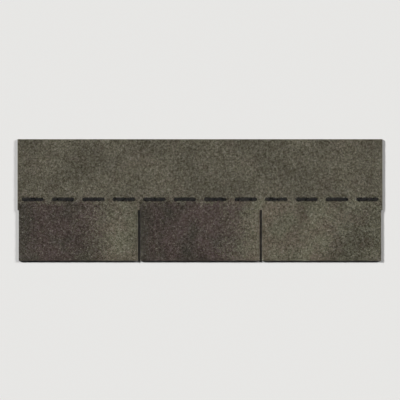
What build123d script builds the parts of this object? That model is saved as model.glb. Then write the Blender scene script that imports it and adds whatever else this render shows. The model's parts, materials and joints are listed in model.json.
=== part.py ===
"""Strip asphalt shingle of three tabs, one unit of the laid roof, lying face up on its back.

The strip's length runs along X and its height along Y, with the butt edge of the tabs at -Y and the
top edge at +Y. The weather face is up. The origin is the middle of the strip on the plane of its back.
"""

import os

from build123d import *

INCH = 25.4

# The coated sheet
tab_count = 3
tab_pitch = 12 * INCH  # one tab with its slot
strip_height = 12 * INCH  # butt edge to top edge
exposure = 5 * INCH  # the height left to the weather, and of the slots
sheet_thickness = 3.0  # felt, both coatings and the bedded granules
slot_width = INCH / 4
slot_root_radius = 1.5  # the die's rounded corners at the top of each slot
tab_corner_radius = 1.0
edge_round = 0.5  # the coating drawn down along each cut

# The self-seal adhesive, a line of dashes that sticks down the tabs of the next course
dashes_per_tab = 4
dash_gap = 19.0
dash_width = 11.0
dash_height = 0.9
dash_slope = 60  # degrees that the bead's sides lean in, as the soft asphalt settles
seal_rise = 27.0  # from the slots' tops to the dashes' centre line, above the nails

# The release film on the back, which keeps stacked strips from sticking to each other
film_width = 32.0
film_thickness = 0.10
film_depth = 0.12  # pressed into the hot back coating, just below its face

strip_length = tab_count * tab_pitch
butt_y = -strip_height / 2
slot_top_y = butt_y + exposure
seal_y = slot_top_y + seal_rise
dash_pitch = tab_pitch / dashes_per_tab
dash_length = dash_pitch - dash_gap


def is_at(y):
    """A filter for the corners of the outline that lie on the line at this height."""
    return lambda corner: abs(corner.Y - y) < 1e-6


def inside_ends(corner):
    """Whether a corner of the outline lies inside the strip's two ends."""
    return abs(corner.X) < strip_length / 2 - 1e-6


# The sheet: cut from one coated web, so it is one piece. A slot stands at each joint of two tabs and,
# cut in half, at both ends, where the neighbouring strip's half slot completes it.
with BuildPart() as shingle_sheet:
    with BuildSketch() as outline:
        Rectangle(strip_length, strip_height)
        with Locations((0, butt_y)):
            with GridLocations(tab_pitch, 0, tab_count + 1, 1):
                Rectangle(slot_width, 2 * exposure, mode=Mode.SUBTRACT)
        slot_roots = outline.vertices().filter_by(is_at(slot_top_y)).filter_by(inside_ends)
        fillet(slot_roots, slot_root_radius)
        fillet(outline.vertices().filter_by(is_at(butt_y)), tab_corner_radius)
    extrude(amount=sheet_thickness)
    fillet(shingle_sheet.faces().sort_by(Axis.Z)[-1].edges(), edge_round)
    with BuildSketch() as film_bed:
        with Locations((0, seal_y)):
            Rectangle(strip_length, film_width)
    extrude(amount=film_depth, mode=Mode.SUBTRACT)
shingle_sheet.part.label = "shingle_sheet"

# The seal dashes: low beads of soft asphalt with sloping sides, on the granules above the slots.
with BuildPart() as seal_dashes:
    with BuildSketch(Plane.XY.offset(sheet_thickness)):
        with Locations((0, seal_y)):
            with GridLocations(dash_pitch, 0, tab_count * dashes_per_tab, 1):
                SlotOverall(dash_length, dash_width)
    extrude(amount=dash_height, taper=dash_slope)
seal_dashes.part.label = "seal_dashes"

# The release film: a narrow tape that runs the length of the back, behind the seal dashes.
with BuildPart() as release_film:
    with BuildSketch(Plane.XY.offset(film_depth - film_thickness)):
        with Locations((0, seal_y)):
            Rectangle(strip_length, film_width)
    extrude(amount=film_thickness)
release_film.part.label = "release_film"

os.makedirs("parts", exist_ok=True)
for piece in (shingle_sheet, seal_dashes, release_film):
    export_step(piece.part, f"parts/{piece.part.label}.step")
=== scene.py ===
"""Dresses one strip asphalt shingle with three tabs, and sets it on a pale floor under two low lamps.

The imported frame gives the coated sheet, the seal dashes and the release film. This file lays the crushed
granules on the sheet's weather face, shapes the soft seal beads, and gives each surface its finish.
Lengths are in metres, and the strip lies as in the frame: its length along X, the tabs at -Y, face up.
"""

from __future__ import annotations

import json
import logging
import math
from collections.abc import Mapping, Sequence
from dataclasses import dataclass, replace
from enum import Enum

import bmesh
import bpy
import numpy as np
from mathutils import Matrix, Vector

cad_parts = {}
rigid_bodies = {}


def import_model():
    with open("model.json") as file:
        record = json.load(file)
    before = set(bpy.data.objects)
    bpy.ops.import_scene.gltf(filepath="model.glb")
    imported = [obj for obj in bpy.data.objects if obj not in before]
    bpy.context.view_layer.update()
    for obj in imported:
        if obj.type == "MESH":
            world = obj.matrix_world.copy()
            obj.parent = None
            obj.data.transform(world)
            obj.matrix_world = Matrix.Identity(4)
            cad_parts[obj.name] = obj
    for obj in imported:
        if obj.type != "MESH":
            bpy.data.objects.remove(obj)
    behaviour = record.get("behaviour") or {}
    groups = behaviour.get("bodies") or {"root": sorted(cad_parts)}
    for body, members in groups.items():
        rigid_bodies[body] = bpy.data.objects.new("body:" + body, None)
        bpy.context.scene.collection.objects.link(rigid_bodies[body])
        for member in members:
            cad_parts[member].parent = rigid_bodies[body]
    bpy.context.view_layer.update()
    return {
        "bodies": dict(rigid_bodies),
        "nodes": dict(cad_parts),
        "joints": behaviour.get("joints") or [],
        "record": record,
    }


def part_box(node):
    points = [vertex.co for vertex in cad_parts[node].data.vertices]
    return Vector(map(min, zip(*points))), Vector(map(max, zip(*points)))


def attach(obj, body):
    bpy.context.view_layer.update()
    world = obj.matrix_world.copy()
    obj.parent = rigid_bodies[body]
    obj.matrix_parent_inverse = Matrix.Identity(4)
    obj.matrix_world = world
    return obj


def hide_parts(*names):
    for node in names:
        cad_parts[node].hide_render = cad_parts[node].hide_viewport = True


MM = 0.001
BAKE_MAP = "OFBake"
BODY = "root"
MIDDLE = 0.5  # of a noise, a draw or a ramp

Triple = tuple[float, float, float]
Colour = Triple
Rise = tuple[float, ...]  # where a soft step starts and ends, and the values before and after it
Operand = object  # a Signal, a socket, a number, a tuple or a data-block
Settings = Mapping[str, object] | None
Sockets = Mapping[str | int, Operand] | None

log = logging.getLogger("shingle")


def srgb(red: int, green: int, blue: int) -> Colour:
    """Turns a colour in the steps of a screen into linear light.

    Args:
        red: The red step, 0 to 255.
        green: The green step, 0 to 255.
        blue: The blue step, 0 to 255.

    Returns:
        The three linear amounts, 0 to 1.
    """

    def linear(step: int) -> float:
        """Undoes the screen's curve for one step."""
        share = step / 255
        return share / 12.92 if share <= 0.04045 else ((share + 0.055) / 1.055) ** 2.4

    return linear(red), linear(green), linear(blue)


class Signal:
    """A node's output that takes part in arithmetic: each operator adds one Math node."""

    def __init__(self, net: Net, socket: bpy.types.NodeSocket) -> None:
        """Wraps an output of one of the tree's nodes."""
        self.net = net
        self.socket = socket

    def _maths(self, operation: str, *operands: Operand) -> Signal:
        """Adds a Math node with these operands, in order."""
        return self.net.signal("ShaderNodeMath", {"operation": operation}, dict(enumerate(operands)))

    def __add__(self, other: Operand) -> Signal:
        """The sum."""
        return self._maths("ADD", self, other)

    def __radd__(self, other: Operand) -> Signal:
        """The sum, from the right."""
        return self._maths("ADD", other, self)

    def __sub__(self, other: Operand) -> Signal:
        """The difference."""
        return self._maths("SUBTRACT", self, other)

    def __rsub__(self, other: Operand) -> Signal:
        """The difference, from the right."""
        return self._maths("SUBTRACT", other, self)

    def __mul__(self, other: Operand) -> Signal:
        """The product."""
        return self._maths("MULTIPLY", self, other)

    def __rmul__(self, other: Operand) -> Signal:
        """The product, from the right."""
        return self._maths("MULTIPLY", other, self)

    def __truediv__(self, other: Operand) -> Signal:
        """The quotient."""
        return self._maths("DIVIDE", self, other)

    def __rtruediv__(self, other: Operand) -> Signal:
        """The quotient, from the right."""
        return self._maths("DIVIDE", other, self)

    def __pow__(self, other: Operand) -> Signal:
        """The power."""
        return self._maths("POWER", self, other)

    def __rpow__(self, other: Operand) -> Signal:
        """The power, from the right."""
        return self._maths("POWER", other, self)

    def __abs__(self) -> Signal:
        """The size without its sign."""
        return self._maths("ABSOLUTE", self)

    def __lt__(self, other: Operand) -> Signal:
        """1 where this is less, and 0 elsewhere."""
        return self._maths("LESS_THAN", self, other)

    def __gt__(self, other: Operand) -> Signal:
        """1 where this is more, and 0 elsewhere."""
        return self._maths("GREATER_THAN", self, other)

    def least(self, other: Operand) -> Signal:
        """The lesser of the two."""
        return self._maths("MINIMUM", self, other)

    def most(self, other: Operand) -> Signal:
        """The greater of the two."""
        return self._maths("MAXIMUM", self, other)

    def root(self) -> Signal:
        """The square root."""
        return self._maths("SQRT", self)

    def sine(self) -> Signal:
        """The sine, of radians."""
        return self._maths("SINE", self)

    def rise(self, start: Operand, end: Operand, low: float = 0.0, high: float = 1.0) -> Signal:
        """A soft step from low at start to high at end, or back down where start is above end."""
        sockets = {"Value": self, "From Min": start, "From Max": end, "To Min": low, "To Max": high}
        return self.net.signal("ShaderNodeMapRange", {"interpolation_type": "SMOOTHSTEP"}, sockets)


@dataclass(frozen=True)
class Cloud:
    """A cloudy pattern, as fine and as drawn out as its numbers say."""

    width: float  # of one cloud, in metres
    detail: float = 2.0  # how many finer layers it has
    roughness: float = 0.5  # how strong they are
    stretch: Triple | None = None  # a small factor draws it out along that axis
    shift: Triple = (0.0, 0.0, 0.0)


class Net:
    """A shader or geometry tree that is written as expressions."""

    def __init__(self, tree: bpy.types.NodeTree) -> None:
        """Wraps the tree that nodes are added to."""
        self.tree = tree

    def node(self, kind: str, settings: Settings = None, sockets: Sockets = None) -> bpy.types.Node:
        """Adds a node, sets its settings, and then fills its sockets.

        Args:
            kind: The node's type.
            settings: Its properties by name, and under "stops" a ramp's (place, colour) pairs.
            sockets: A value or a link for each input, by name or number.

        Returns:
            The new node.
        """
        node = self.tree.nodes.new(kind)
        for name, setting in (settings or {}).items():
            if name == "stops":
                self._set_stops(node.color_ramp, setting)
            else:
                setattr(node, name, setting)
        for key, operand in (sockets or {}).items():
            if isinstance(key, int):
                socket = node.inputs[key]
            else:
                socket = next(s for s in node.inputs if s.name == key and s.enabled)
            source = operand.socket if isinstance(operand, Signal) else operand
            if isinstance(source, bpy.types.NodeSocket):
                self.tree.links.new(source, socket)
            else:
                socket.default_value = source
        return node

    @staticmethod
    def _set_stops(ramp: bpy.types.ColorRamp, stops: Sequence[tuple[float, Colour]]) -> None:
        """Gives a new ramp its stops.

        Args:
            ramp: The ramp.
            stops: The (place, colour) pairs, from the first place to the last.
        """
        while len(ramp.elements) < len(stops):
            ramp.elements.new(1.0)
        for element, (place, colour) in zip(ramp.elements, stops, strict=True):
            element.position = place
            element.color = (*colour, 1.0)

    def signal(
        self,
        kind: str,
        settings: Settings = None,
        sockets: Sockets = None,
        output: str | int | None = None,
    ) -> Signal:
        """Adds a node as node() does.

        Args:
            kind: The node's type.
            settings: Its properties.
            sockets: Its inputs.
            output: The output's name or number, or None for the first that is in use.

        Returns:
            The output as a signal.
        """
        node = self.node(kind, settings, sockets)
        if output is None:
            return Signal(self, next(s for s in node.outputs if s.enabled))
        return Signal(self, node.outputs[output])

    def mix(self, share: Operand, first: Operand, second: Operand, blend: str = "MIX") -> Signal:
        """Mixes a share of the second colour into the first, each a signal or three numbers."""
        sockets = {"Factor": share, "A": with_alpha(first), "B": with_alpha(second)}
        return self.signal("ShaderNodeMix", {"data_type": "RGBA", "blend_type": blend}, sockets)

    def noise(self, place: Operand, cloud: Cloud) -> Signal:
        """A cloudy value about the middle.

        Args:
            place: The coordinates.
            cloud: The pattern.

        Returns:
            The value, mostly between 0.3 and 0.7.
        """
        if cloud.stretch is not None:
            sockets = {0: place, 1: cloud.stretch, 2: cloud.shift}
            place = self.signal("ShaderNodeVectorMath", {"operation": "MULTIPLY_ADD"}, sockets)
        sockets = {"Vector": place, "Scale": 1 / cloud.width}
        sockets |= {"Detail": cloud.detail, "Roughness": cloud.roughness}
        return self.signal("ShaderNodeTexNoise", {"noise_dimensions": "3D"}, sockets, "Fac")

    def wander(self, place: Operand, cloud: Cloud, reach: Operand) -> Signal:
        """A cloudy value about 0, mostly within a fifth of the reach either way."""
        return (self.noise(place, cloud) - MIDDLE) * reach


def with_alpha(colour: Operand) -> Operand:
    """Gives three numbers the fourth that a colour socket takes, and leaves a signal alone."""
    return (*colour, 1.0) if isinstance(colour, tuple) and len(colour) == 3 else colour


class Material(Net):
    """A material whose colour and relief are written as expressions."""

    def __init__(self, name: str, specular: float) -> None:
        """Makes a material with one Principled shader.

        Args:
            name: The material's name.
            specular: The shader's specular level.
        """
        self.material = bpy.data.materials.new(name)
        self.material.use_nodes = True
        super().__init__(self.material.node_tree)
        self.shader = self.tree.nodes["Principled BSDF"]
        self.shader.inputs["Specular IOR Level"].default_value = specular
        self.place = self.signal("ShaderNodeTexCoord", output="Object")
        parts = self.node("ShaderNodeSeparateXYZ", sockets={0: self.place})
        self.x, self.y, self.z = (Signal(self, socket) for socket in parts.outputs)

    def attribute(self, name: str) -> Signal:
        """Reads a number that the mesh carries under this name."""
        return self.signal("ShaderNodeAttribute", {"attribute_name": name}, output="Fac")

    def finish(
        self, colour: Operand, roughness: Operand, height: Signal | None = None, depth: float = 0.0
    ) -> bpy.types.Material:
        """Links the colour, the roughness and the relief to the shader.

        Args:
            colour: The base colour.
            roughness: The roughness.
            height: The relief's height, 0 to 1, or None for a surface with none.
            depth: How high a height of 1 stands.

        Returns:
            The finished material.
        """
        filled = {"Base Color": with_alpha(colour), "Roughness": roughness}
        if height is not None:
            sockets = {"Height": height, "Distance": depth, "Strength": 1.0}
            filled["Normal"] = self.signal("ShaderNodeBump", None, sockets)
        for name, operand in filled.items():
            if isinstance(operand, Signal):
                self.tree.links.new(operand.socket, self.shader.inputs[name])
            else:
                self.shader.inputs[name].default_value = operand
        return self.material


@dataclass(frozen=True)
class StripPlan:
    """Where the strip's edges, slots and lines are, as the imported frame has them."""

    left: float
    right: float
    butt: float
    top_edge: float
    face: float
    slot_places: tuple[float, ...]
    slot_top: float
    slot_width: float
    seal_line: float
    seal_top: float
    seal_width: float
    seal_span: float

    @classmethod
    def from_frame(cls, frame: Mapping[str, object]) -> StripPlan:
        """Reads the plan from the frame's boxes and its record.


        Returns:
            The plan.
        """
        low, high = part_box("shingle_sheet")
        seal_low, seal_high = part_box("seal_dashes")
        slots = [opening["box_m"] for opening in frame["record"]["physics"]["openings"]]
        return cls(
            left=low[0],
            right=high[0],
            butt=low[1],
            top_edge=high[1],
            face=high[2],
            slot_places=tuple(sorted((box[0][0] + box[1][0]) / 2 for box in slots)),
            slot_top=max(box[1][1] for box in slots),
            slot_width=max(box[1][0] - box[0][0] for box in slots),
            seal_line=(seal_low[1] + seal_high[1]) / 2,
            seal_top=seal_high[2],
            seal_width=seal_high[1] - seal_low[1],
            seal_span=seal_high[0] - seal_low[0],
        )

    @property
    def tab_pitch(self) -> float:
        """The width of one tab with its slot."""
        return (self.right - self.left) / (len(self.slot_places) + 1)


# The drops' own colours
PLUM = srgb(77, 67, 64)
BARK = srgb(71, 67, 61)
SMOKE = srgb(72, 69, 61)
STRAW = srgb(121, 117, 103)


@dataclass(frozen=True)
class ColourDrop:
    """A stretch of granules of another shade, dropped on one tab, that thins out towards its ends.

    Its places along the tab are shares of the tab's pitch, from the left.
    """

    tab: int
    start: float
    full_from: float
    full_to: float
    end: float
    share: float  # of the granules that are its own, where it is full
    colours: tuple[Colour, Colour]  # clouds of one in the other
    slant: float = 0.0  # how much further it reaches at the slots' tops than at the butt


@dataclass(frozen=True)
class GranuleBlend:
    """The blend of crushed and coloured granules, and which kind lies where."""

    olive: Colour = srgb(105, 103, 88)
    mauve: Colour = srgb(100, 92, 81)
    headlap: Colour = srgb(92, 87, 77)
    # Brightness of the granules against their kind, at places along the ramp from dark to pale
    shades: tuple[tuple[float, Colour], ...] = (
        (0.00, (0.31, 0.31, 0.28)),
        (0.20, (0.59, 0.57, 0.53)),
        (0.50, (0.95, 0.94, 0.92)),
        (0.80, (1.24, 1.25, 1.31)),
        (0.95, (1.47, 1.49, 1.63)),
        (1.00, (1.68, 1.68, 1.90)),
    )
    # Two dark tabs, the greyer left end of each, a smoky right end and a pale one
    drops: tuple[ColourDrop, ...] = (
        ColourDrop(0, -0.20, -0.10, 0.40, 0.94, 0.92, (BARK, PLUM), slant=0.06),
        ColourDrop(1, 0.00, 0.01, 0.60, 1.03, 0.92, (BARK, PLUM), slant=0.04),
        ColourDrop(0, -0.20, -0.10, 0.06, 0.20, 0.80, (BARK, BARK)),
        ColourDrop(1, 0.00, 0.01, 0.03, 0.15, 0.80, (BARK, BARK)),
        ColourDrop(2, 0.42, 0.75, 1.10, 1.20, 0.38, (SMOKE, SMOKE)),
        ColourDrop(0, 0.66, 0.82, 1.10, 1.20, 0.22, (STRAW, STRAW)),
    )
    drop_edge: Cloud = Cloud(45 * MM)
    drop_sway: float = 50 * MM
    patches: Cloud = Cloud(60 * MM)
    mauve_share: Rise = (0.37, 0.63, 0.08, 0.78)  # of the plain granules, by the patches
    second_share: Rise = (0.28, 0.53)  # of a drop's second colour, by the patches
    headlap_reach: float = 12 * MM  # how far the face colours run past the slots' tops
    headlap_fade: float = 26 * MM
    headlap_mixed: float = 0.6  # the headlap's own granules among the plain ones
    headlap_edge: Cloud = Cloud(20 * MM)
    headlap_sway: float = 30 * MM
    clump: Cloud = Cloud(4.9 * MM, detail=1.0)  # clusters of granules of like brightness
    clump_strength: float = 1.5
    clump_pull: float = 0.3  # how much more of a drop a dark cluster takes in
    single_strength: float = 0.78  # of each granule's own draw of brightness
    drift: Cloud = Cloud(110 * MM)
    drift_levels: Rise = (0.32, 0.68, 0.84, 1.14)
    gain: float = 1.40  # makes up for the light that the granules take from each other

    def colour(self, look: Material, plan: StripPlan, tone: Signal, kind: Signal) -> Signal:
        """The colour of a granule.

        Args:
            look: The material that it is for.
            plan: The strip's edges and slots.
            tone: The granule's own draw of brightness, 0 to 1.
            kind: Its own draw of kind, 0 to 1.

        Returns:
            The colour.
        """
        place = look.place
        cluster = look.wander(place, self.clump, self.clump_strength)
        body = self.body(look, plan, kind, cluster)
        peak = max(max(shade) for _, shade in self.shades)
        stops = [(spot, tuple(part / peak for part in shade)) for spot, shade in self.shades]
        spot = (tone - MIDDLE) * self.single_strength + MIDDLE + cluster
        shade = look.signal("ShaderNodeValToRGB", {"stops": stops}, {"Fac": spot}, "Color")
        shaded = look.mix(1.0, body, shade, "MULTIPLY")
        level = tuple(peak * self.gain / part for part in self.mean_shade())
        sockets = {0: shaded, 1: level}
        levelled = look.signal("ShaderNodeVectorMath", {"operation": "MULTIPLY"}, sockets)
        sockets = {0: levelled, "Scale": look.noise(place, self.drift).rise(*self.drift_levels)}
        return look.signal("ShaderNodeVectorMath", {"operation": "SCALE"}, sockets, "Vector")

    def body(self, look: Material, plan: StripPlan, kind: Signal, cluster: Signal) -> Signal:
        """The plain colour of the kind of granule that lies at each place.

        Args:
            look: The material that it is for.
            plan: The strip's edges and slots.
            kind: The granule's own draw of kind, 0 to 1.
            cluster: How pale the cluster is that it lies in, about 0.

        Returns:
            The colour.
        """
        place = look.place
        patches = look.noise(place, self.patches)
        body = look.mix(kind < patches.rise(*self.mauve_share), self.olive, self.mauve)
        above = look.y + look.wander(place, self.headlap_edge, self.headlap_sway)
        reach = plan.slot_top + self.headlap_reach
        covered = above.rise(reach, reach + self.headlap_fade)
        body = look.mix(kind < covered * self.headlap_mixed, body, self.headlap)
        sway = look.wander(place, self.drop_edge, self.drop_sway)
        steering = (1 - covered) * (1 - cluster * self.clump_pull)
        second = patches.rise(*self.second_share)
        for drop in self.drops:
            share = self.drop_share(look, plan, drop, sway) * steering
            body = look.mix(kind < share, body, look.mix(second, *drop.colours))
        return body

    def mean_shade(self) -> Colour:
        """The mean brightness along the whole ramp, which the level is divided by."""
        pairs = list(zip(self.shades, self.shades[1:]))
        return tuple(
            sum((b[0] - a[0]) * (a[1][part] + b[1][part]) / 2 for a, b in pairs) for part in range(3)
        )

    @staticmethod
    def drop_share(look: Material, plan: StripPlan, drop: ColourDrop, sway: Signal) -> Signal:
        """The share of the granules at each place that one drop gives.

        Args:
            look: The material that it is for.
            plan: The strip's edges and slots.
            drop: The drop.
            sway: How far its end wanders, in metres.

        Returns:
            The share, 0 to 1.
        """
        pitch = plan.tab_pitch
        along = look.x - (plan.left + drop.tab * pitch)
        height = (look.y - plan.butt) / (plan.slot_top - plan.butt) - MIDDLE
        swayed = along + sway - height * (drop.slant * pitch)
        rises = along.rise(drop.start * pitch, drop.full_from * pitch)
        falls = swayed.rise(drop.full_to * pitch, drop.end * pitch)
        return rises * (1 - falls) * (along < pitch) * drop.share


@dataclass(frozen=True)
class GranuleFinish:
    """The finish of the single granules: baked ceramic colour on crushed rock."""

    blend: GranuleBlend
    specular: float = 0.22
    roughness: Rise = (0.0, 1.0, 0.95, 0.58)  # by each granule's own draw of gloss

    def material(self, plan: StripPlan) -> bpy.types.Material:
        """Makes the material, which reads each granule's tone, kind and gloss from its mesh.

        Args:
            plan: The strip's edges and slots.

        Returns:
            The material.
        """
        look = Material("granules", self.specular)
        colour = self.blend.colour(look, plan, look.attribute("tone"), look.attribute("kind"))
        return look.finish(colour, look.attribute("gloss").rise(*self.roughness))


@dataclass(frozen=True)
class SheetFinish:
    """The finish of the coated sheet: fines between the granules, black cut edges, a dusted back."""

    blend: GranuleBlend
    specular: float = 0.3
    relief: float = 0.25 * MM
    dullness: Cloud = Cloud(2 * MM)
    roughness: Rise = (0.35, 0.65, 0.6, 0.85)  # by the dullness
    back_top: float = 0.2 * MM  # a point below this is on the back
    face_depth: float = 0.62 * MM  # and one less deep than this is on the face
    asphalt: Colour = (0.012, 0.0115, 0.011)
    # The face
    fines_cell: float = 0.9 * MM
    fines_tone: float = 0.8  # of the granules' own draws, so that the fines are darker
    fines_gap: Rise = (0.12, 0.04)  # bare asphalt, by the way in from the rim of a cell
    fines_shoulder: float = 0.3  # the way in up to which they slope
    fines_slope: float = 3.0
    # The cut edge
    filler: Colour = (0.10, 0.098, 0.09)
    filler_specks: Cloud = Cloud(0.45 * MM, roughness=0.6)
    filler_share: Rise = (0.56, 0.7)
    fibre: Colour = (0.16, 0.15, 0.125)
    strands: Cloud = Cloud(0.5 * MM, stretch=(0.25, 0.25, 4.0))
    strand_share: Rise = (0.45, 0.6)
    mat_height: float = 1.25 * MM  # of the glass mat, above the back
    mat_thickness: float = 0.35 * MM
    mat_bends: Cloud = Cloud(14 * MM)
    mat_sway: float = 0.5 * MM
    # The back
    back: Colour = (0.030, 0.029, 0.028)
    dust: Colour = (0.15, 0.147, 0.138)
    dust_specks: Cloud = Cloud(1.1 * MM, detail=3.0, roughness=0.7)
    dust_streaks: Cloud = Cloud(7 * MM, detail=3.0, roughness=0.6, stretch=(0.16, 1.0, 1.0))
    dust_patches: Cloud = Cloud(70 * MM, detail=3.0, roughness=0.55)
    streak_strength: float = 0.22
    patch_strength: float = 0.35
    dust_share: Rise = (0.42, 0.62, 0.06, 0.85)
    sand: Colour = (0.30, 0.28, 0.245)
    sand_cell: float = 1.6 * MM
    sand_grain: Rise = (0.30, 0.16)  # by the distance from a cell's middle
    sand_patches: Cloud = Cloud(5 * MM, detail=1.0)
    sand_from: float = 0.47  # where the patches have sand
    sand_cover: float = 0.8

    def material(self, plan: StripPlan) -> bpy.types.Material:
        """Makes the material, which tells face, edges and back apart by height.

        Args:
            plan: The strip's edges and slots.

        Returns:
            The material.
        """
        look = Material("coated_sheet", self.specular)
        on_back = 1 - (look.z > self.back_top)
        on_face = look.z > plan.face - self.face_depth
        face_colour, face_height = self.face(look, plan)
        edge_colour, edge_height = self.edge(look)
        back_colour, back_height = self.underside(look)
        colour = look.mix(on_back, look.mix(on_face, edge_colour, face_colour), back_colour)
        height = edge_height + (face_height - edge_height) * on_face
        height = height + (back_height - height) * on_back
        roughness = look.noise(look.place, self.dullness).rise(*self.roughness)
        return look.finish(colour, roughness, height, self.relief)

    def face(self, look: Material, plan: StripPlan) -> tuple[Signal, Signal]:
        """The fines that fill the gaps between granules, with black asphalt between them.

        Args:
            look: The material that it is for.
            plan: The strip's edges and slots.

        Returns:
            The colour and the height.
        """
        sockets = {"Vector": look.place, "Scale": 1 / self.fines_cell}
        cell = look.signal("ShaderNodeTexVoronoi", {"feature": "F1"}, sockets, "Color")
        inward = look.signal("ShaderNodeTexVoronoi", {"feature": "DISTANCE_TO_EDGE"}, sockets)
        draws = look.node("ShaderNodeSeparateColor", None, {0: cell})
        tone, kind = Signal(look, draws.outputs[0]), Signal(look, draws.outputs[1])
        grain = self.blend.colour(look, plan, tone * self.fines_tone, kind)
        colour = look.mix(inward.rise(*self.fines_gap), grain, self.asphalt)
        return colour, inward.least(self.fines_shoulder) * self.fines_slope

    def edge(self, look: Material) -> tuple[Signal, Signal]:
        """The die-cut edge: filled asphalt with the glass mat as a paler line of fibres.

        Args:
            look: The material that it is for.

        Returns:
            The colour and the height.
        """
        speck = look.noise(look.place, self.filler_specks)
        colour = look.mix(speck.rise(*self.filler_share), self.asphalt, self.filler)
        off_mat = abs(look.z - self.mat_height + look.wander(look.place, self.mat_bends, self.mat_sway))
        strands = look.noise(look.place, self.strands).rise(*self.strand_share)
        in_mat = off_mat.rise(self.mat_thickness, self.mat_thickness / 4) * strands
        return look.mix(in_mat, colour, self.fibre), speck

    def underside(self, look: Material) -> tuple[Signal, Signal]:
        """The back coating with the fine mineral dust that keeps it from sticking.

        Args:
            look: The material that it is for.

        Returns:
            The colour and the height.
        """
        place = look.place
        speck = look.noise(place, self.dust_specks)
        streaks = look.wander(place, self.dust_streaks, self.streak_strength)
        patches = look.wander(place, self.dust_patches, self.patch_strength)
        dusty = (speck + streaks + patches).rise(*self.dust_share)
        sockets = {"Vector": place, "Scale": 1 / self.sand_cell}
        from_middle = look.signal("ShaderNodeTexVoronoi", {"feature": "F1"}, sockets)
        sandy = look.noise(place, self.sand_patches) > self.sand_from
        grain = from_middle.rise(*self.sand_grain) * sandy
        powdered = look.mix(dusty, self.back, self.dust)
        return look.mix(grain * self.sand_cover, powdered, self.sand), (speck + grain) / 2


@dataclass(frozen=True)
class SealFinish:
    """The finish of the seal beads: soft black asphalt with a dull shine and a little dust."""

    asphalt: Colour = (0.009, 0.0088, 0.0085)
    dust: Colour = (0.060, 0.056, 0.049)
    specular: float = 0.32
    bloom: Cloud = Cloud(9 * MM, detail=3.0, roughness=0.55)
    bloom_dust: Rise = (0.50, 0.78, 0.0, 0.5)
    specks: Cloud = Cloud(0.8 * MM, detail=1.0)
    speck_dust: Rise = (0.66, 0.74, 0.0, 0.5)
    roughness: Rise = (0.35, 0.65, 0.26, 0.48)  # by the bloom
    lumps: Cloud = Cloud(4 * MM, roughness=0.45)
    relief: float = 0.35 * MM

    def material(self) -> bpy.types.Material:
        """Makes the material.

        Returns:
            The material, which follows the place on the strip.
        """
        look = Material("seal_asphalt", self.specular)
        bloom = look.noise(look.place, self.bloom)
        dusty = bloom.rise(*self.bloom_dust) + look.noise(look.place, self.specks).rise(*self.speck_dust)
        colour = look.mix(dusty.least(1.0), self.asphalt, self.dust)
        lumps = look.noise(look.place, self.lumps)
        return look.finish(colour, bloom.rise(*self.roughness), lumps, self.relief)


@dataclass(frozen=True)
class FilmFinish:
    """The finish of the release film: thin glossy plastic, a little creased along the roll, with painted
    shade in clouds and on its bubbles.
    """

    film: Colour = (0.30, 0.31, 0.31)
    # Painted shade: a darker copy of the film, which its clouds and its bubbles take on
    shaded: Colour = (0.17, 0.175, 0.18)
    specular: float = 0.6
    # Clouds of painted shade on the film, which also set its roughness
    shade_and_gloss_cloud: Cloud = Cloud(16 * MM, detail=4.0, roughness=0.6, stretch=(0.35, 1.0, 1.0))
    film_share: Rise = (0.36, 0.66)  # by the clouds of painted shade, against the film's own colour
    roughness: Rise = (0.35, 0.65, 0.16, 0.34)  # by the clouds of painted shade
    bubbles: Cloud = Cloud(2.4 * MM)
    bubble_share: Rise = (0.60, 0.68)
    # how far the bubbles are painted towards the shade
    bubble_shade: float = 0.5
    bubble_height: float = 0.4
    creases: Cloud = Cloud(9 * MM, detail=3.0, roughness=0.55, stretch=(1.0, 0.22, 1.0))
    crease_sharpness: float = 8.0
    relief: float = 0.12 * MM

    def material(self) -> bpy.types.Material:
        """Makes the material.

        Returns:
            The material, which follows the place on the strip.
        """
        look = Material("release_film", self.specular)
        shade_and_gloss_cloud = look.noise(look.place, self.shade_and_gloss_cloud)
        bubbles = look.noise(look.place, self.bubbles).rise(*self.bubble_share)
        # Painted shade: darker clouds on the film, and darker bubbles
        colour = look.mix(shade_and_gloss_cloud.rise(*self.film_share), self.shaded, self.film)
        colour = look.mix(bubbles * self.bubble_shade, colour, self.shaded)
        off_crease = abs(look.wander(look.place, self.creases, self.crease_sharpness))
        height = (1 - off_crease).most(0.0) + bubbles * self.bubble_height
        return look.finish(colour, shade_and_gloss_cloud.rise(*self.roughness), height, self.relief)


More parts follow.
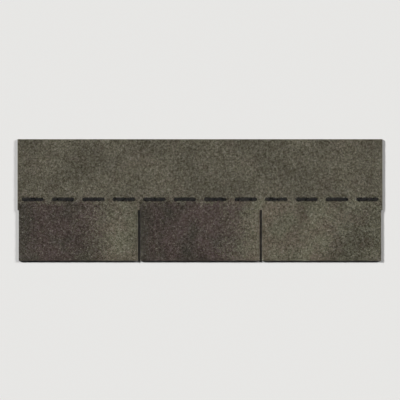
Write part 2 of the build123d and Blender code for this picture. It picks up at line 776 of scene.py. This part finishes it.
class Recipe:
    """A Geometry Nodes tree with named inputs, and the way its result becomes a plain mesh."""

    SOCKETS = {float: "NodeSocketFloat", int: "NodeSocketInt", bpy.types.Material: "NodeSocketMaterial"}

    def __init__(self, name: str, inputs: Mapping[str, type]) -> None:
        """Makes an empty tree.

        Args:
            name: The tree's name.
            inputs: The type of each named input.
        """
        tree = bpy.data.node_groups.new(name, "GeometryNodeTree")
        faces = tree.interface
        faces.new_socket("Geometry", in_out="INPUT", socket_type="NodeSocketGeometry")
        faces.new_socket("Geometry", in_out="OUTPUT", socket_type="NodeSocketGeometry")
        self.keys = {}
        for label, kind in inputs.items():
            socket = faces.new_socket(label, in_out="INPUT", socket_type=self.SOCKETS[kind])
            self.keys[label] = socket.identifier
        self.net = Net(tree)
        self.source = self.net.node("NodeGroupInput")

    def input(self, label: str) -> Signal:
        """One of the tree's inputs."""
        return Signal(self.net, self.source.outputs[label])

    def draw(self, low: Operand, high: Operand, seed: Operand) -> Signal:
        """A random number for each element, evenly spread between low and high."""
        sockets = {"Min": low, "Max": high, "Seed": seed}
        return self.net.signal("FunctionNodeRandomValue", {"data_type": "FLOAT"}, sockets)

    def vector(self, x: Operand, y: Operand, z: Operand) -> Signal:
        """A vector from three numbers."""
        return self.net.signal("ShaderNodeCombineXYZ", None, {0: x, 1: y, 2: z})

    def close(self, geometry: Signal, material: Signal) -> None:
        """Ends the tree in real geometry with its material.

        Args:
            geometry: What the tree made, instances among it.
            material: The material that all of it gets.
        """
        real = self.net.signal("GeometryNodeRealizeInstances", None, {0: geometry})
        sockets = {"Geometry": real, "Material": material}
        dressed = self.net.signal("GeometryNodeSetMaterial", None, sockets)
        self.net.node("NodeGroupOutput", None, {0: dressed})

    def make(self, name: str, seat: bpy.types.Mesh, values: Mapping[str, object]) -> bpy.types.Object:
        """Runs the tree on a mesh and keeps the result as a plain object.

        Args:
            name: The new object's name.
            seat: The mesh that the tree starts from.
            values: A value for each named input.

        Returns:
            The object, which is linked to the scene and has no modifier.
        """
        piece = bpy.data.objects.new(name, seat)
        bpy.context.collection.objects.link(piece)
        modifier = piece.modifiers.new("recipe", "NODES")
        modifier.node_group = self.net.tree
        for label, value in values.items():
            modifier[self.keys[label]] = value
        piece.update_tag()
        evaluated = piece.evaluated_get(bpy.context.evaluated_depsgraph_get())
        made = bpy.data.meshes.new_from_object(evaluated)
        piece.modifiers.clear()
        piece.data = made
        made.name = name
        bpy.data.meshes.remove(seat)
        return piece


class Part(Enum):
    """The two parts of each tab's width: what the weather reaches, and what the next course covers."""

    TAB = "tab"
    HEADLAP = "headlap"


@dataclass(frozen=True)
class StoneForm:
    """A shape that crushed rock breaks into: two rings of corners, knocked about and wrapped tightly."""

    foot_corners: int
    crown_corners: int
    crown: float  # the crown's radius against the foot's
    height: float  # against the foot's radius
    knock: float = 0.26  # how far each corner is knocked, against the foot's radius


@dataclass
class GranuleCoat:
    """The crushed granules that are bedded in the weather face."""

    plan: StripPlan
    finish: GranuleFinish
    spacing: float = 1.27 * MM  # least distance between the middles of two granules
    smallest: float = 0.72 * MM  # radius
    largest: float = 1.25 * MM
    flatness: float = 0.68  # height against radius
    sink: float = 0.22 * MM  # how deep the foot is bedded
    lean: float = 0.30  # radians
    crowd: float = 3.2  # tries for each granule's room, so that they pack tightly
    squatness: tuple[float, float] = (0.75, 1.25)  # each granule's own, against the flatness
    narrowness: tuple[float, float] = (0.78, 1.0)  # its width against its length
    forms: tuple[StoneForm, ...] = (
        StoneForm(4, 3, crown=0.66, height=0.95),
        StoneForm(3, 4, crown=0.80, height=0.80),
        StoneForm(3, 3, crown=0.74, height=0.90),
        StoneForm(4, 3, crown=0.52, height=1.05),
        StoneForm(3, 4, crown=0.66, height=0.95),
        StoneForm(3, 3, crown=0.60, height=0.75),
        StoneForm(4, 3, crown=0.74, height=0.75),
        StoneForm(3, 3, crown=0.85, height=1.0),
    )
    side_names: tuple[str, ...] = ("left", "middle", "right")
    seed_step: int = 5  # from one piece to the next
    first_knock: int = 40  # the seed of the first form's knocks
    up: float = 0.999  # the least upward part of a level face's normal
    weld: float = 0.001 * MM

    def build(self) -> list[bpy.types.Object]:
        """Grows the coat.

        Returns:
            The pieces, one for each tab and one for each stretch of headlap.
        """
        material = self.finish.material(self.plan)
        recipe = self.recipe()
        pieces = []
        for number, side in enumerate(self.side_names):
            for part in Part:
                name = f"granules_{part.value}_{side}"
                seat = self.seat(number, part)
                values = {
                    "Spacing": self.spacing,
                    "Crowding": self.crowd / self.spacing**2,
                    "Smallest": self.smallest,
                    "Largest": self.largest,
                    "Flatness": self.flatness,
                    "Sink": self.sink,
                    "Lean": self.lean,
                    "Seed": self.seed_step * (2 * number + (part is Part.HEADLAP)),
                    "Material": material,
                }
                piece = recipe.make(name, seat, values)
                self.trim(piece.data)
                add_flat_map(piece.data)
                pieces.append(piece)
                log.info("%s: %d faces", name, len(piece.data.polygons))
        return pieces

    def recipe(self) -> Recipe:
        """The tree that scatters granules on a seat, each with its own shape, tone and kind.

        Returns:
            The recipe, with inputs for its sizes, its seed and its material.
        """
        lengths = ("Spacing", "Crowding", "Smallest", "Largest", "Flatness", "Sink", "Lean")
        inputs = dict.fromkeys(lengths, float) | {"Seed": int, "Material": bpy.types.Material}
        recipe = Recipe("granule_coat", inputs)
        net, seed = recipe.net, recipe.input("Seed")
        spots = net.signal(
            "GeometryNodeDistributePointsOnFaces",
            {"distribute_method": "POISSON"},
            {
                "Mesh": recipe.input("Geometry"),
                "Distance Min": recipe.input("Spacing"),
                "Density Max": recipe.input("Crowding"),
                "Seed": seed,
            },
            "Points",
        )
        for offset, name in enumerate(("tone", "kind", "gloss"), 1):
            sockets = {"Geometry": spots, "Name": name, "Value": recipe.draw(0.0, 1.0, seed + offset)}
            spots = net.signal("GeometryNodeStoreNamedAttribute", {"domain": "POINT"}, sockets)
        shapes = net.node("GeometryNodeJoinGeometry")
        for number, form in enumerate(self.forms):
            stone = self.stone(recipe, form, number)
            whole = net.signal("GeometryNodeGeometryToInstance", None, {0: stone})
            net.tree.links.new(whole.socket, shapes.inputs[0])
        radius = recipe.draw(recipe.input("Smallest"), recipe.input("Largest"), seed + 4)
        lean = recipe.input("Lean")
        turn = recipe.vector(
            recipe.draw(0.0, 1.0, seed + 5) * lean * 2 - lean,
            recipe.draw(0.0, 1.0, seed + 6) * lean * 2 - lean,
            recipe.draw(0.0, math.tau, seed + 7),
        )
        squat = radius * recipe.input("Flatness") * recipe.draw(*self.squatness, seed + 8)
        last_form = len(self.forms) - 0.001  # the draw is cut down to a whole number
        narrow = radius * recipe.draw(*self.narrowness, seed + 10)
        stones = net.signal(
            "GeometryNodeInstanceOnPoints",
            None,
            {
                "Points": spots,
                "Instance": shapes.outputs[0],
                "Pick Instance": True,
                "Instance Index": recipe.draw(0.0, last_form, seed + 9),
                "Rotation": turn,
                "Scale": recipe.vector(radius, narrow, squat),
            },
        )
        bedded = recipe.vector(0.0, 0.0, recipe.input("Sink") * -1)
        sockets = {"Instances": stones, "Translation": bedded, "Local Space": False}
        lowered = net.signal("GeometryNodeTranslateInstances", None, sockets)
        recipe.close(lowered, recipe.input("Material"))
        return recipe

    def stone(self, recipe: Recipe, form: StoneForm, number: int) -> Signal:
        """One broken shape of radius 1, with flat facets.

        Args:
            recipe: The tree that it is added to.
            form: Its rings of corners.
            number: Its place among the forms, which seeds the knocks.

        Returns:
            The closed shape.
        """
        net = recipe.net
        corners = net.node("GeometryNodeJoinGeometry")
        foot = net.signal("GeometryNodeMeshCircle", None, {"Vertices": form.foot_corners, "Radius": 1.0})
        sockets = {"Vertices": form.crown_corners, "Radius": form.crown}
        crown = net.signal("GeometryNodeMeshCircle", None, sockets)
        turn = math.pi / (2 + number)  # another one for each form
        sockets = {"Geometry": crown, "Translation": (0.0, 0.0, form.height), "Rotation": (0.0, 0.0, turn)}
        raised = net.signal("GeometryNodeTransform", None, sockets)
        for ring in (foot, raised):
            net.tree.links.new(ring.socket, corners.inputs[0])
        settings = {"data_type": "FLOAT_VECTOR"}
        sockets = {0: (-form.knock,) * 3, 1: (form.knock,) * 3, "Seed": self.first_knock + number}
        knocks = net.signal("FunctionNodeRandomValue", settings, sockets)
        sockets = {"Geometry": corners.outputs[0], "Offset": knocks}
        knocked = net.signal("GeometryNodeSetPosition", None, sockets)
        wrapped = net.signal("GeometryNodeConvexHull", None, {0: knocked})
        return net.signal("GeometryNodeSetShadeSmooth", None, {"Geometry": wrapped, "Shade Smooth": False})

    def trim(self, mesh: bpy.types.Mesh) -> None:
        """Cuts the granules off flush with the die-cut outline.

        Args:
            mesh: The coat's mesh, whose corners past a cut are moved back onto it.
        """
        plan, half = self.plan, self.plan.slot_width / 2
        places = np.empty(len(mesh.vertices) * 3, np.float32)
        mesh.vertices.foreach_get("co", places)
        x, y, _ = places.reshape(-1, 3).T
        np.clip(x, plan.left, plan.right, out=x)
        np.clip(y, plan.butt, plan.top_edge, out=y)
        for slot in (plan.left, *plan.slot_places, plan.right):
            aside = half - abs(x - slot)
            below = plan.slot_top - y
            sideways = (aside > 0) & (below > aside)
            upwards = (aside > 0) & (below > 0) & ~sideways
            x[sideways] = slot + np.copysign(half, x[sideways] - slot)
            y[upwards] = plan.slot_top
        mesh.vertices.foreach_set("co", places)
        mesh.update()

    def seat(self, number: int, part: Part) -> bpy.types.Mesh:
        """The stretch of the sheet's flat face that one piece of the coat lies on.

        Args:
            number: The tab, from the left.
            part: The tab itself or the headlap above it.

        Returns:
            The flat mesh, cut from a copy of the sheet's face.
        """
        plan = self.plan
        left = plan.left + number * plan.tab_pitch
        low, high = (plan.butt, plan.slot_top) if part is Part.TAB else (plan.slot_top, plan.top_edge)
        cuts = (
            ((left, 0, 0), (-1, 0, 0)),
            ((left + plan.tab_pitch, 0, 0), (1, 0, 0)),
            ((0, low, 0), (0, -1, 0)),
            ((0, high, 0), (0, 1, 0)),
        )
        sheet = bmesh.new()
        sheet.from_mesh(bpy.data.objects["shingle_sheet"].data)
        bmesh.ops.remove_doubles(sheet, verts=sheet.verts, dist=self.weld)
        half_way = plan.face / 2
        others = [f for f in sheet.faces if f.normal.z < self.up or f.calc_center_median().z < half_way]
        bmesh.ops.delete(sheet, geom=others, context="FACES")
        for point, outward in cuts:
            everything = sheet.verts[:] + sheet.edges[:] + sheet.faces[:]
            bmesh.ops.bisect_plane(
                sheet, geom=everything, plane_co=point, plane_no=outward, clear_outer=True
            )
        mesh = bpy.data.meshes.new(f"seat_{part.value}_{number}")
        sheet.to_mesh(mesh)
        sheet.free()
        return mesh


def add_flat_map(mesh: bpy.types.Mesh) -> None:
    """Gives a coat's mesh the map that lays it out flat, as it is seen from above.

    Args:
        mesh: The mesh, whose own length and width fill the map.
    """
    places = np.empty(len(mesh.vertices) * 3, np.float32)
    mesh.vertices.foreach_get("co", places)
    corners = np.empty(len(mesh.loops), np.int32)
    mesh.loops.foreach_get("vertex_index", corners)
    flat = places.reshape(-1, 3)[:, :2]
    low, high = flat.min(axis=0), flat.max(axis=0)
    layer = mesh.uv_layers.new(name=BAKE_MAP)
    layer.uv.foreach_set("vector", ((flat - low) / (high - low))[corners].ravel())


@dataclass
class SealBeads:
    """The self-seal adhesive: a row of soft asphalt beads, uneven where they settled on the granules."""

    plan: StripPlan
    finish: SealFinish
    per_tab: int = 4
    along: int = 61  # points along a bead
    across: int = 15
    foot: float = 0.12 * MM  # the upright part of its edge
    sink: float = 0.30 * MM  # below the face, so that it meets it between the granules
    stray: float = 0.85 * MM  # how far its outline wanders
    stray_along: float = 2.0  # how strong the stray is along the bead
    stray_across: float = 3.0
    bends: Cloud = Cloud(3.6 * MM, roughness=0.6)
    cross_shift: Triple = (3.0, 5.0, 7.0)  # sets the bends across it apart from those along it
    ripple: float = 0.26 * MM
    ripples: Cloud = Cloud(2.2 * MM)
    slimness: float = 100.0  # the more, the narrower its ends come to
    crown_power: float = 3.0  # the more, the flatter its top
    end_power: float = 0.6  # the more, the lower its ends

    def build(self) -> bpy.types.Object:
        """Makes the row.

        Returns:
            The one piece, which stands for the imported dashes.
        """
        count = self.per_tab * (len(self.plan.slot_places) + 1)
        pitch = self.plan.tab_pitch / self.per_tab
        values = {
            "Count": count,
            "Pitch": pitch,
            "Length": self.plan.seal_span - (count - 1) * pitch,
            "Width": self.plan.seal_width,
            "Height": self.plan.seal_top - self.plan.face,
            "Sink": self.sink,
            "Stray": self.stray,
            "Material": self.finish.material(),
        }
        seat = bpy.data.meshes.new("seal_seat")
        piece = self.recipe().make("seal_beads", seat, values)
        log.info("seal_beads: %d faces", len(piece.data.polygons))
        return piece

    def recipe(self) -> Recipe:
        """The tree that bends a block into a bead, repeats it along the strip and unsettles it.

        Returns:
            The recipe, with inputs for its count, its sizes and its material.
        """
        lengths = ("Pitch", "Length", "Width", "Height", "Sink", "Stray")
        inputs = {"Count": int} | dict.fromkeys(lengths, float) | {"Material": bpy.types.Material}
        recipe = Recipe("seal_beads", inputs)
        net, plan = recipe.net, self.plan
        length, width, height = (recipe.input(label) for label in ("Length", "Width", "Height"))
        sizes = {"Vertices X": self.along, "Vertices Y": self.across, "Vertices Z": 2}
        block = net.signal("GeometryNodeMeshCube", None, {"Size": (2.0, 2.0, 1.0)} | sizes, "Mesh")
        spot = net.node("ShaderNodeSeparateXYZ", None, {0: net.signal("GeometryNodeInputPosition")})
        u, v, t = (Signal(net, socket) for socket in spot.outputs)
        x = (u * (math.pi / 2)).sine() * length / 2
        past = (abs(x) - (length - width) / 2).most(0.0)
        reach = (width * width / 4 - past * past).most(width * width / self.slimness).root()
        dome = (1 - abs(v) ** self.crown_power) * (reach / width * 2) ** self.end_power
        upper = (height - self.foot) * dome + self.foot
        z = (t > 0.0) * (upper + recipe.input("Sink")) - recipe.input("Sink")
        sockets = {"Geometry": block, "Position": recipe.vector(x, v * reach, z)}
        bead = net.signal("GeometryNodeSetPosition", None, sockets)
        row_left = recipe.input("Pitch") * (recipe.input("Count") - 1) / -2
        sockets = {
            "Count": recipe.input("Count"),
            "Start Location": recipe.vector(row_left, plan.seal_line, plan.face),
            "Offset": recipe.vector(recipe.input("Pitch"), 0.0, 0.0),
        }
        row = net.signal("GeometryNodeMeshLine", {"mode": "OFFSET"}, sockets)
        beads = net.signal("GeometryNodeInstanceOnPoints", None, {"Points": row, "Instance": bead})
        real = net.signal("GeometryNodeRealizeInstances", None, {0: beads})
        place = net.signal("GeometryNodeInputPosition")
        stray = recipe.input("Stray")
        cross_bends = replace(self.bends, stretch=(1.0, 1.0, 1.0), shift=self.cross_shift)
        offset = recipe.vector(
            net.wander(place, self.bends, stray) * self.stray_along,
            net.wander(place, cross_bends, stray) * self.stray_across,
            net.wander(place, self.ripples, self.ripple) * 2 - self.ripple / 2,
        )
        real = net.signal("GeometryNodeSetPosition", None, {"Geometry": real, "Offset": offset})
        smooth = net.signal("GeometryNodeSetShadeSmooth", None, {"Geometry": real, "Shade Smooth": True})
        recipe.close(smooth, recipe.input("Material"))
        return recipe


@dataclass(frozen=True)
class Lamp:
    """A far lamp with soft edges to its shadows, all its angles in degrees."""

    name: str
    level: float  # its light on a level surface
    height: float  # above the floor
    turn: float  # from beyond the top edge towards the left
    spread: float  # of the lamp itself

    def hang(self) -> None:
        """Adds the lamp to the scene."""
        height = math.radians(self.height)
        light = bpy.data.lights.new(self.name, "SUN")
        light.energy = math.pi * self.level / math.sin(height)
        light.angle = math.radians(self.spread)
        lamp = bpy.data.objects.new(self.name, light)
        bpy.context.collection.objects.link(lamp)
        lamp.rotation_euler = (height - math.pi / 2, 0.0, math.radians(self.turn))
        lamp.visible_glossy = False  # so low a lamp would glare on the beads


@dataclass
class Stage:
    """The pale floor, the lamps and the camera that looks straight down."""

    frame_width: float = 1.003  # what the picture's width spans
    camera_height: float = 3.2
    sensor: float = 36.0
    floor_side: float = 120.0
    floor_drop: float = 0.05 * MM
    floor_colour: Colour = (0.80, 0.795, 0.78)
    sky: float = 0.015  # light from all round
    sheen_sky: float = 0.28  # what the gloss shows of it
    # They hang beyond the top edge to its left and right, so low that the slots lie in shade
    lamps: tuple[Lamp, ...] = (
        Lamp("key", level=0.635, height=19, turn=57, spread=7),
        Lamp("fill", level=0.35, height=17, turn=297, spread=9),
    )

    def build(self) -> None:
        """Makes the floor, the lamps and the camera."""
        self.floor()
        self.light()
        self.camera()

    def floor(self) -> None:
        """Lays a pale floor under the strip."""
        half = self.floor_side / 2
        mesh = bpy.data.meshes.new("floor")
        signs = ((-1, -1), (1, -1), (1, 1), (-1, 1))
        corners = [(half * x, half * y, -self.floor_drop) for x, y in signs]
        mesh.from_pydata(corners, [], [(0, 1, 2, 3)])
        floor = bpy.data.objects.new("floor", mesh)
        bpy.context.collection.objects.link(floor)
        look = Material("floor", specular=0.0)
        mesh.materials.append(look.finish(self.floor_colour, 1.0))

    def light(self) -> None:
        """Sets a dim level sky, which the camera sees as pale as the floor, and hangs the lamps."""
        world = bpy.data.worlds.new("studio")
        world.use_nodes = True
        net = Net(world.node_tree)
        path = net.node("ShaderNodeLightPath")
        mirrored = Signal(net, path.outputs["Is Glossy Ray"])
        seen = Signal(net, path.outputs["Is Camera Ray"])
        sky = net.mix(mirrored, (self.sky,) * 3, (self.sheen_sky,) * 3)
        shown = net.mix(seen, sky, self.floor_colour)
        net.tree.links.new(shown.socket, net.tree.nodes["Background"].inputs["Color"])
        bpy.context.scene.world = world
        for lamp in self.lamps:
            lamp.hang()

    def camera(self) -> None:
        """Hangs the camera over the middle of the strip, with its tabs at the picture's bottom."""
        view = bpy.data.cameras.new("camera")
        view.sensor_width = self.sensor
        view.lens = self.sensor * self.camera_height / self.frame_width
        camera = bpy.data.objects.new("camera", view)
        bpy.context.collection.objects.link(camera)
        camera.location.z = self.camera_height
        bpy.context.scene.camera = camera


def dress_node(name: str, material: bpy.types.Material) -> None:
    """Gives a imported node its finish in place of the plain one.

    Args:
        name: The node's name.
        material: The finish for all its slots.
    """
    node = bpy.data.objects[name]
    if not node.material_slots:
        node.data.materials.append(material)
    for slot in node.material_slots:
        slot.material = material
    log.info("%s: dressed", name)


def main() -> None:
    """Builds and dresses the strip, and sets the stage round it."""
    logging.basicConfig(level=logging.INFO, format="%(name)s: %(message)s")
    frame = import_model()
    bpy.context.scene.view_settings.view_transform = "Standard"
    plan = StripPlan.from_frame(frame)
    blend = GranuleBlend()

    dress_node("shingle_sheet", SheetFinish(blend).material(plan))
    dress_node("release_film", FilmFinish().material())

    for piece in GranuleCoat(plan, GranuleFinish(blend)).build():
        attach(piece, BODY)

    piece = SealBeads(plan, SealFinish()).build()
    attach(piece, BODY)
    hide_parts("seal_dashes")

    Stage().build()


if __name__ == "__main__":
    main()
